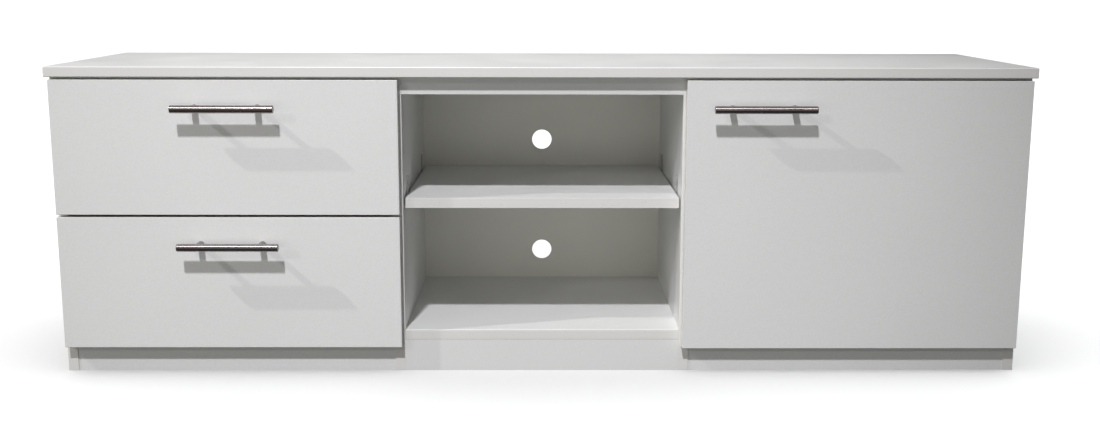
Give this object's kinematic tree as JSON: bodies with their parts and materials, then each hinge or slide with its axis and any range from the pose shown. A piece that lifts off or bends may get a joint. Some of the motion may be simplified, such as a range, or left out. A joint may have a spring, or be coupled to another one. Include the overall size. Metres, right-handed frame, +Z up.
{
  "type": "tv stand",
  "caption": "Low white television cabinet with sliding drawers, an open bay with a shelf and cable holes, and a cupboard with a hinged door.",
  "frame": {"origin": "on the floor, under the middle of the whole cabinet's box, handles included", "axes": "+X to the right seen from the front, +Y to the back, +Z up"},
  "size_m": [1.52, 0.435, 0.485],
  "materials": {
    "white_melamine": "satin white melamine on chipboard, edges banded in the same white",
    "white_box_board": "white foil on drawer box board",
    "white_hardboard": "hardboard, lacquered white on the inside, raw brown outside",
    "brushed_steel": "brushed round the bar, satin",
    "zinc_plated_steel": "bright zinc plating",
    "nickel_plated_steel": "nickel plating",
    "white_enamelled_steel": "white epoxy enamel",
    "nylon": "natural nylon",
    "clear_plastic": "clear polycarbonate",
    "clear_rubber": "soft clear polyurethane",
    "beech": "fluted beech dowel"
  },
  "bodies": {
    "carcass": {"top_panel": "white_melamine", "left_side_panel": "white_melamine", "right_side_panel": "white_melamine", "left_divider": "white_melamine", "right_divider": "white_melamine", "left_base_panel": "white_melamine", "centre_base_panel": "white_melamine", "right_base_panel": "white_melamine", "left_plinth": "white_melamine", "centre_plinth": "white_melamine", "right_plinth": "white_melamine", "front_rails": "white_melamine", "rear_rails": "white_melamine", "back_panel": "white_hardboard", "back_panel_screws": "zinc_plated_steel", "centre_shelf": "white_melamine", "shelf_supports": "clear_plastic", "carcass_dowels": "beech", "top_fixing_screws": "zinc_plated_steel", "cabinet_runners": "white_enamelled_steel", "runner_screws": "zinc_plated_steel", "front_roller_axles": "zinc_plated_steel", "hinge_mounting_plates": "nickel_plated_steel", "hinge_arms": "nickel_plated_steel", "hinge_plate_screws": "zinc_plated_steel"},
    "door": {"door_panel": "white_melamine", "hinge_cups": "nickel_plated_steel", "hinge_pins": "zinc_plated_steel", "door_screws": "zinc_plated_steel", "door_handle_bar": "brushed_steel", "door_handle_posts": "brushed_steel", "door_buffers": "clear_rubber"},
    "upper_drawer": {"upper_drawer_front": "white_melamine", "upper_drawer_left_side": "white_box_board", "upper_drawer_right_side": "white_box_board", "upper_drawer_back": "white_box_board", "upper_drawer_base": "white_hardboard", "upper_drawer_dowels": "beech", "upper_drawer_screws": "zinc_plated_steel", "upper_drawer_runners": "white_enamelled_steel", "upper_drawer_buffers": "clear_rubber", "upper_rear_axles": "zinc_plated_steel", "upper_handle_bar": "brushed_steel", "upper_handle_posts": "brushed_steel"},
    "upper_front_rollers": {"upper_front_rollers": "nylon"},
    "upper_rear_rollers": {"upper_rear_rollers": "nylon"},
    "lower_drawer": {"lower_drawer_front": "white_melamine", "lower_drawer_left_side": "white_box_board", "lower_drawer_right_side": "white_box_board", "lower_drawer_back": "white_box_board", "lower_drawer_base": "white_hardboard", "lower_drawer_dowels": "beech", "lower_drawer_screws": "zinc_plated_steel", "lower_drawer_runners": "white_enamelled_steel", "lower_drawer_buffers": "clear_rubber", "lower_rear_axles": "zinc_plated_steel", "lower_handle_bar": "brushed_steel", "lower_handle_posts": "brushed_steel"},
    "lower_front_rollers": {"lower_front_rollers": "nylon"},
    "lower_rear_rollers": {"lower_rear_rollers": "nylon"}
  },
  "joints": [
    {"name": "door_hinge", "type": "hinge", "parent": "carcass", "child": "door", "pos_m": [0.7481, -0.1765, 0.253], "axis": [0, 0, 1], "range_deg": [0, 90]},
    {"name": "upper_drawer_slide", "type": "slide", "parent": "carcass", "child": "upper_drawer", "axis": [0, -1, 0], "range_m": [0, 0.28]},
    {"name": "upper_front_roller_spin", "type": "hinge", "parent": "carcass", "child": "upper_front_rollers", "pos_m": [-0.4875, -0.1525, 0.2915], "axis": [1, 0, 0], "continuous": true},
    {"name": "upper_rear_roller_spin", "type": "hinge", "parent": "upper_drawer", "child": "upper_rear_rollers", "pos_m": [-0.4875, 0.1725, 0.2923], "axis": [1, 0, 0], "continuous": true},
    {"name": "lower_drawer_slide", "type": "slide", "parent": "carcass", "child": "lower_drawer", "axis": [0, -1, 0], "range_m": [0, 0.28]},
    {"name": "lower_front_roller_spin", "type": "hinge", "parent": "carcass", "child": "lower_front_rollers", "pos_m": [-0.4875, -0.1525, 0.0915], "axis": [1, 0, 0], "continuous": true},
    {"name": "lower_rear_roller_spin", "type": "hinge", "parent": "lower_drawer", "child": "lower_rear_rollers", "pos_m": [-0.4875, 0.1725, 0.0923], "axis": [1, 0, 0], "continuous": true}
  ],
  "couplings": [
    {"joint": "upper_front_roller_spin", "follows": "upper_drawer_slide", "rad_per_m": 125},
    {"joint": "upper_rear_roller_spin", "follows": "upper_drawer_slide", "rad_per_m": 111.11},
    {"joint": "lower_front_roller_spin", "follows": "lower_drawer_slide", "rad_per_m": 125},
    {"joint": "lower_rear_roller_spin", "follows": "lower_drawer_slide", "rad_per_m": 111.11}
  ]
}
